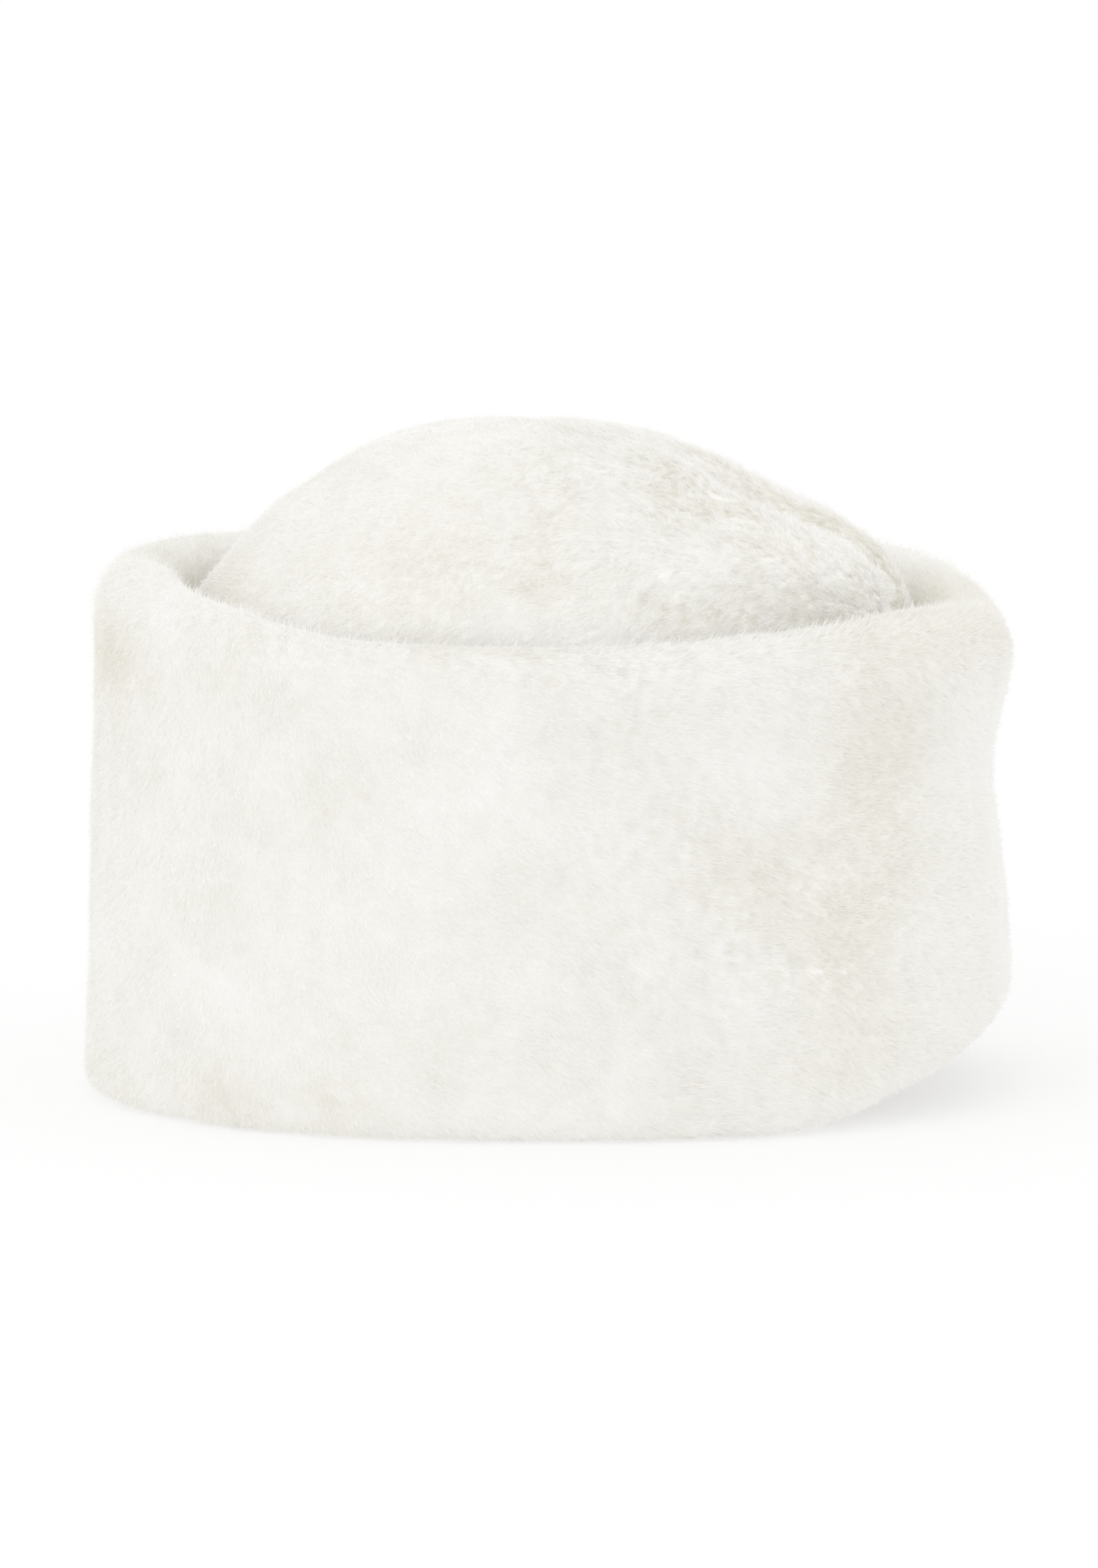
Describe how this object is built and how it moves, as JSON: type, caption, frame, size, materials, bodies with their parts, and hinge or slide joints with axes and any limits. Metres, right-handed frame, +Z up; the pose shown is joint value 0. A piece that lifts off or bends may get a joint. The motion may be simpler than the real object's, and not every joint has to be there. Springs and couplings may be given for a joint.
{
  "type": "faux fur hat",
  "caption": "Soft plush hat with a domed two-panel crown standing inside a tall padded turned-up cuff, open below for the head.",
  "frame": {"origin": "on the surface the hat stands on, under the middle of its outline", "axes": "+X along the hat's long way, towards the end of the cuff that curls up; +Y from the front to the back; +Z up"},
  "size_m": [0.2548, 0.218, 0.1848],
  "materials": {
    "cuff_fur": "dense ivory plush pile, matt",
    "crown_fur": "dense ivory plush pile, matt, brushed into soft clumps"
  },
  "bodies": {
    "root": {"cuff": "cuff_fur", "crown_front_panel": "crown_fur", "crown_back_panel": "crown_fur"}
  },
  "joints": []
}
